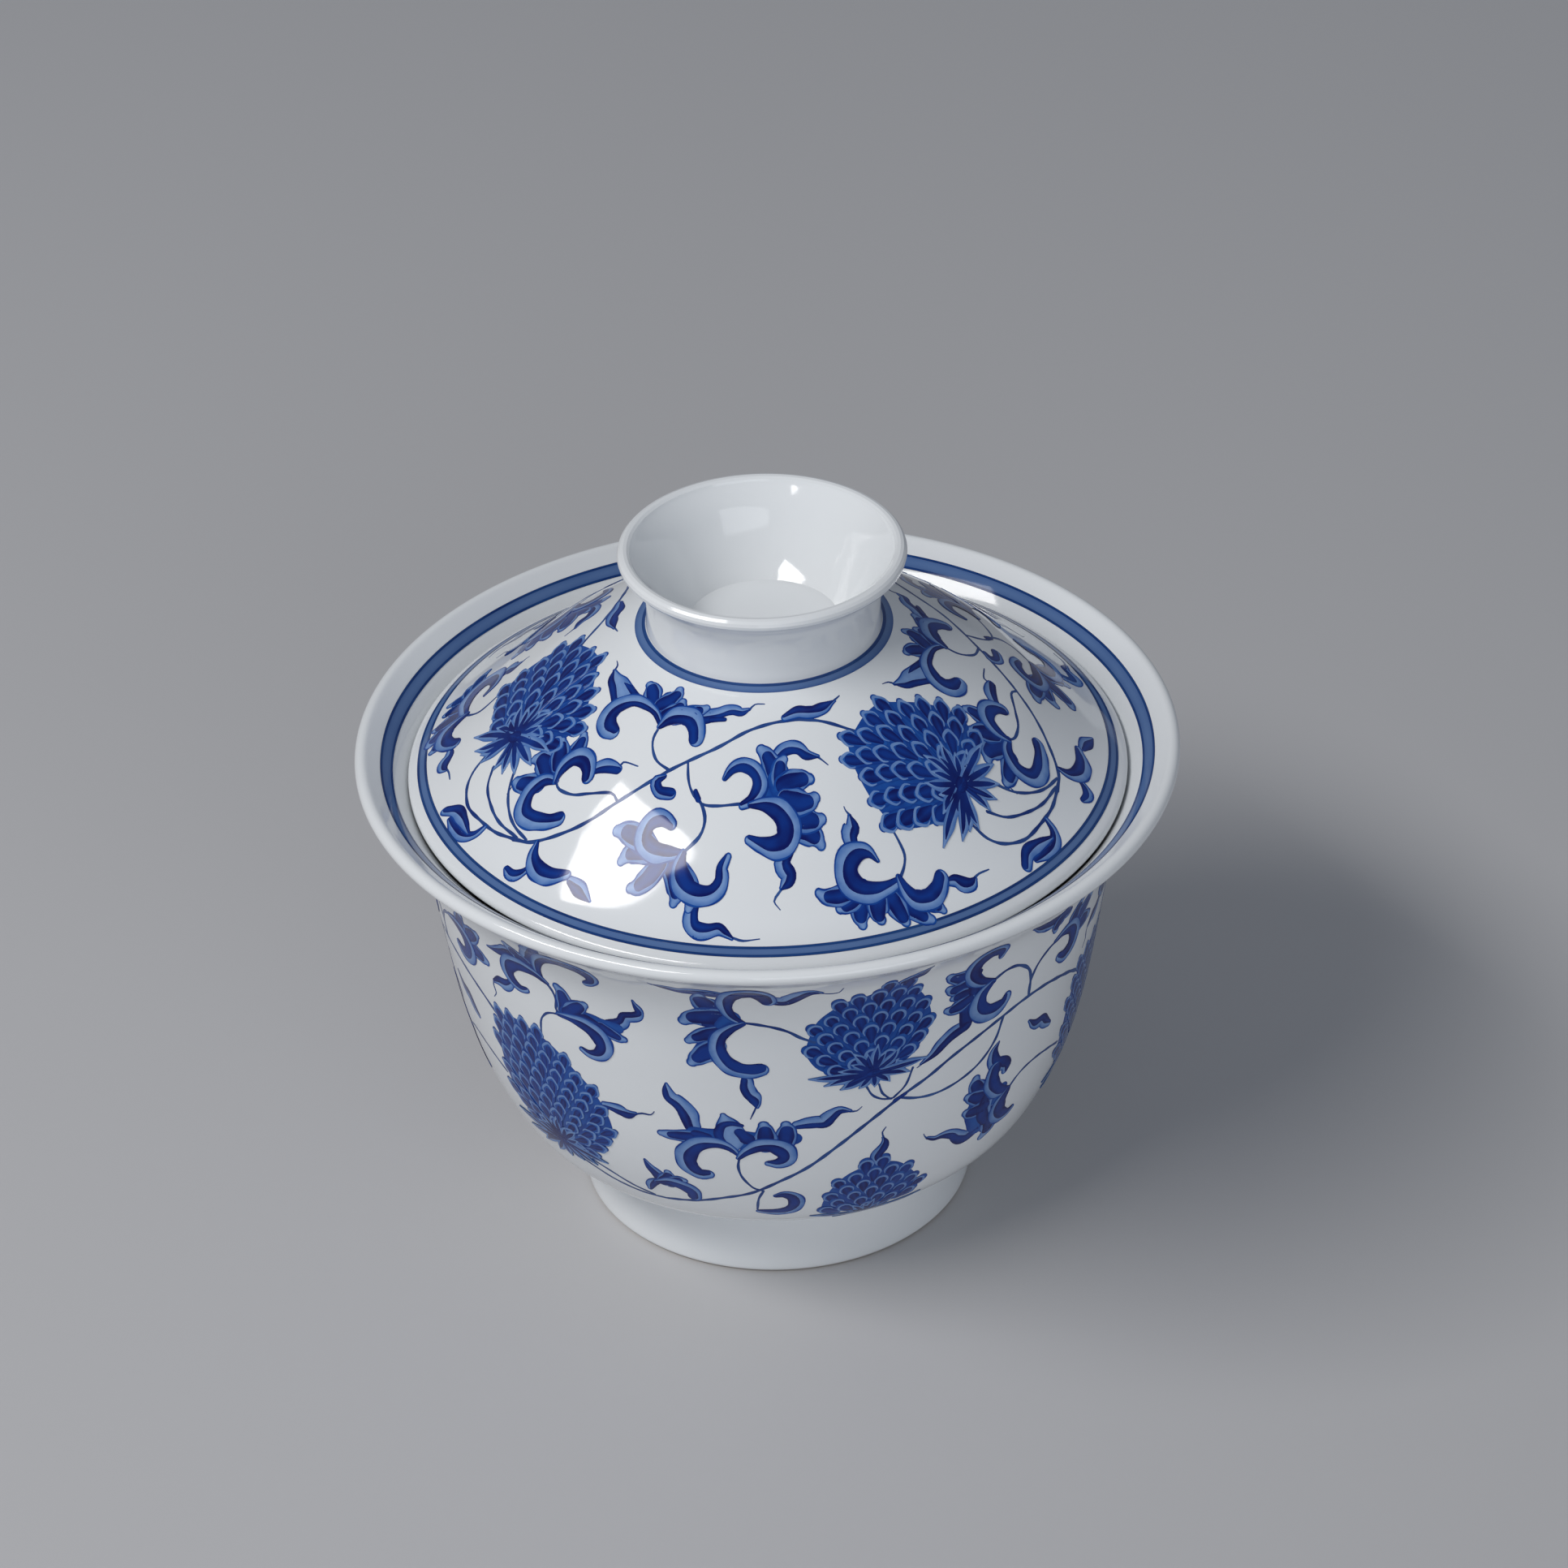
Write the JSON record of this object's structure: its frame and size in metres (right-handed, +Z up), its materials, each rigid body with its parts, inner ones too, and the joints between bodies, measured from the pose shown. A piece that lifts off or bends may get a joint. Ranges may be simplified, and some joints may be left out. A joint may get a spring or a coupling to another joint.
{
  "type": "gaiwan",
  "caption": "Lidded porcelain tea bowl with a flared lip, a foot ring and a domed lid with a hollow ring knob, painted in blue with scrolling flowers.",
  "frame": {"origin": "centre of the foot ring's resting face, on the axis of the bowl", "axes": "+Z up along the axis of revolution; -Y is the front that is seen first"},
  "size_m": [0.1, 0.1, 0.0906],
  "materials": {
    "bowl_glaze": "glossy white glaze over cobalt blue painting",
    "foot_glaze": "glossy white glaze, with a bare unglazed resting face",
    "lid_glaze": "glossy white glaze over cobalt blue painting",
    "knob_glaze": "glossy plain white glaze"
  },
  "bodies": {
    "bowl": {"bowl": "bowl_glaze", "foot_ring": "foot_glaze"},
    "lid": {"lid": "lid_glaze", "lid_knob": "knob_glaze"}
  },
  "joints": [
    {"name": "lid_lift", "type": "slide", "parent": "bowl", "child": "lid", "axis": [0, 0, 1], "range_m": [0, 0.06]}
  ]
}
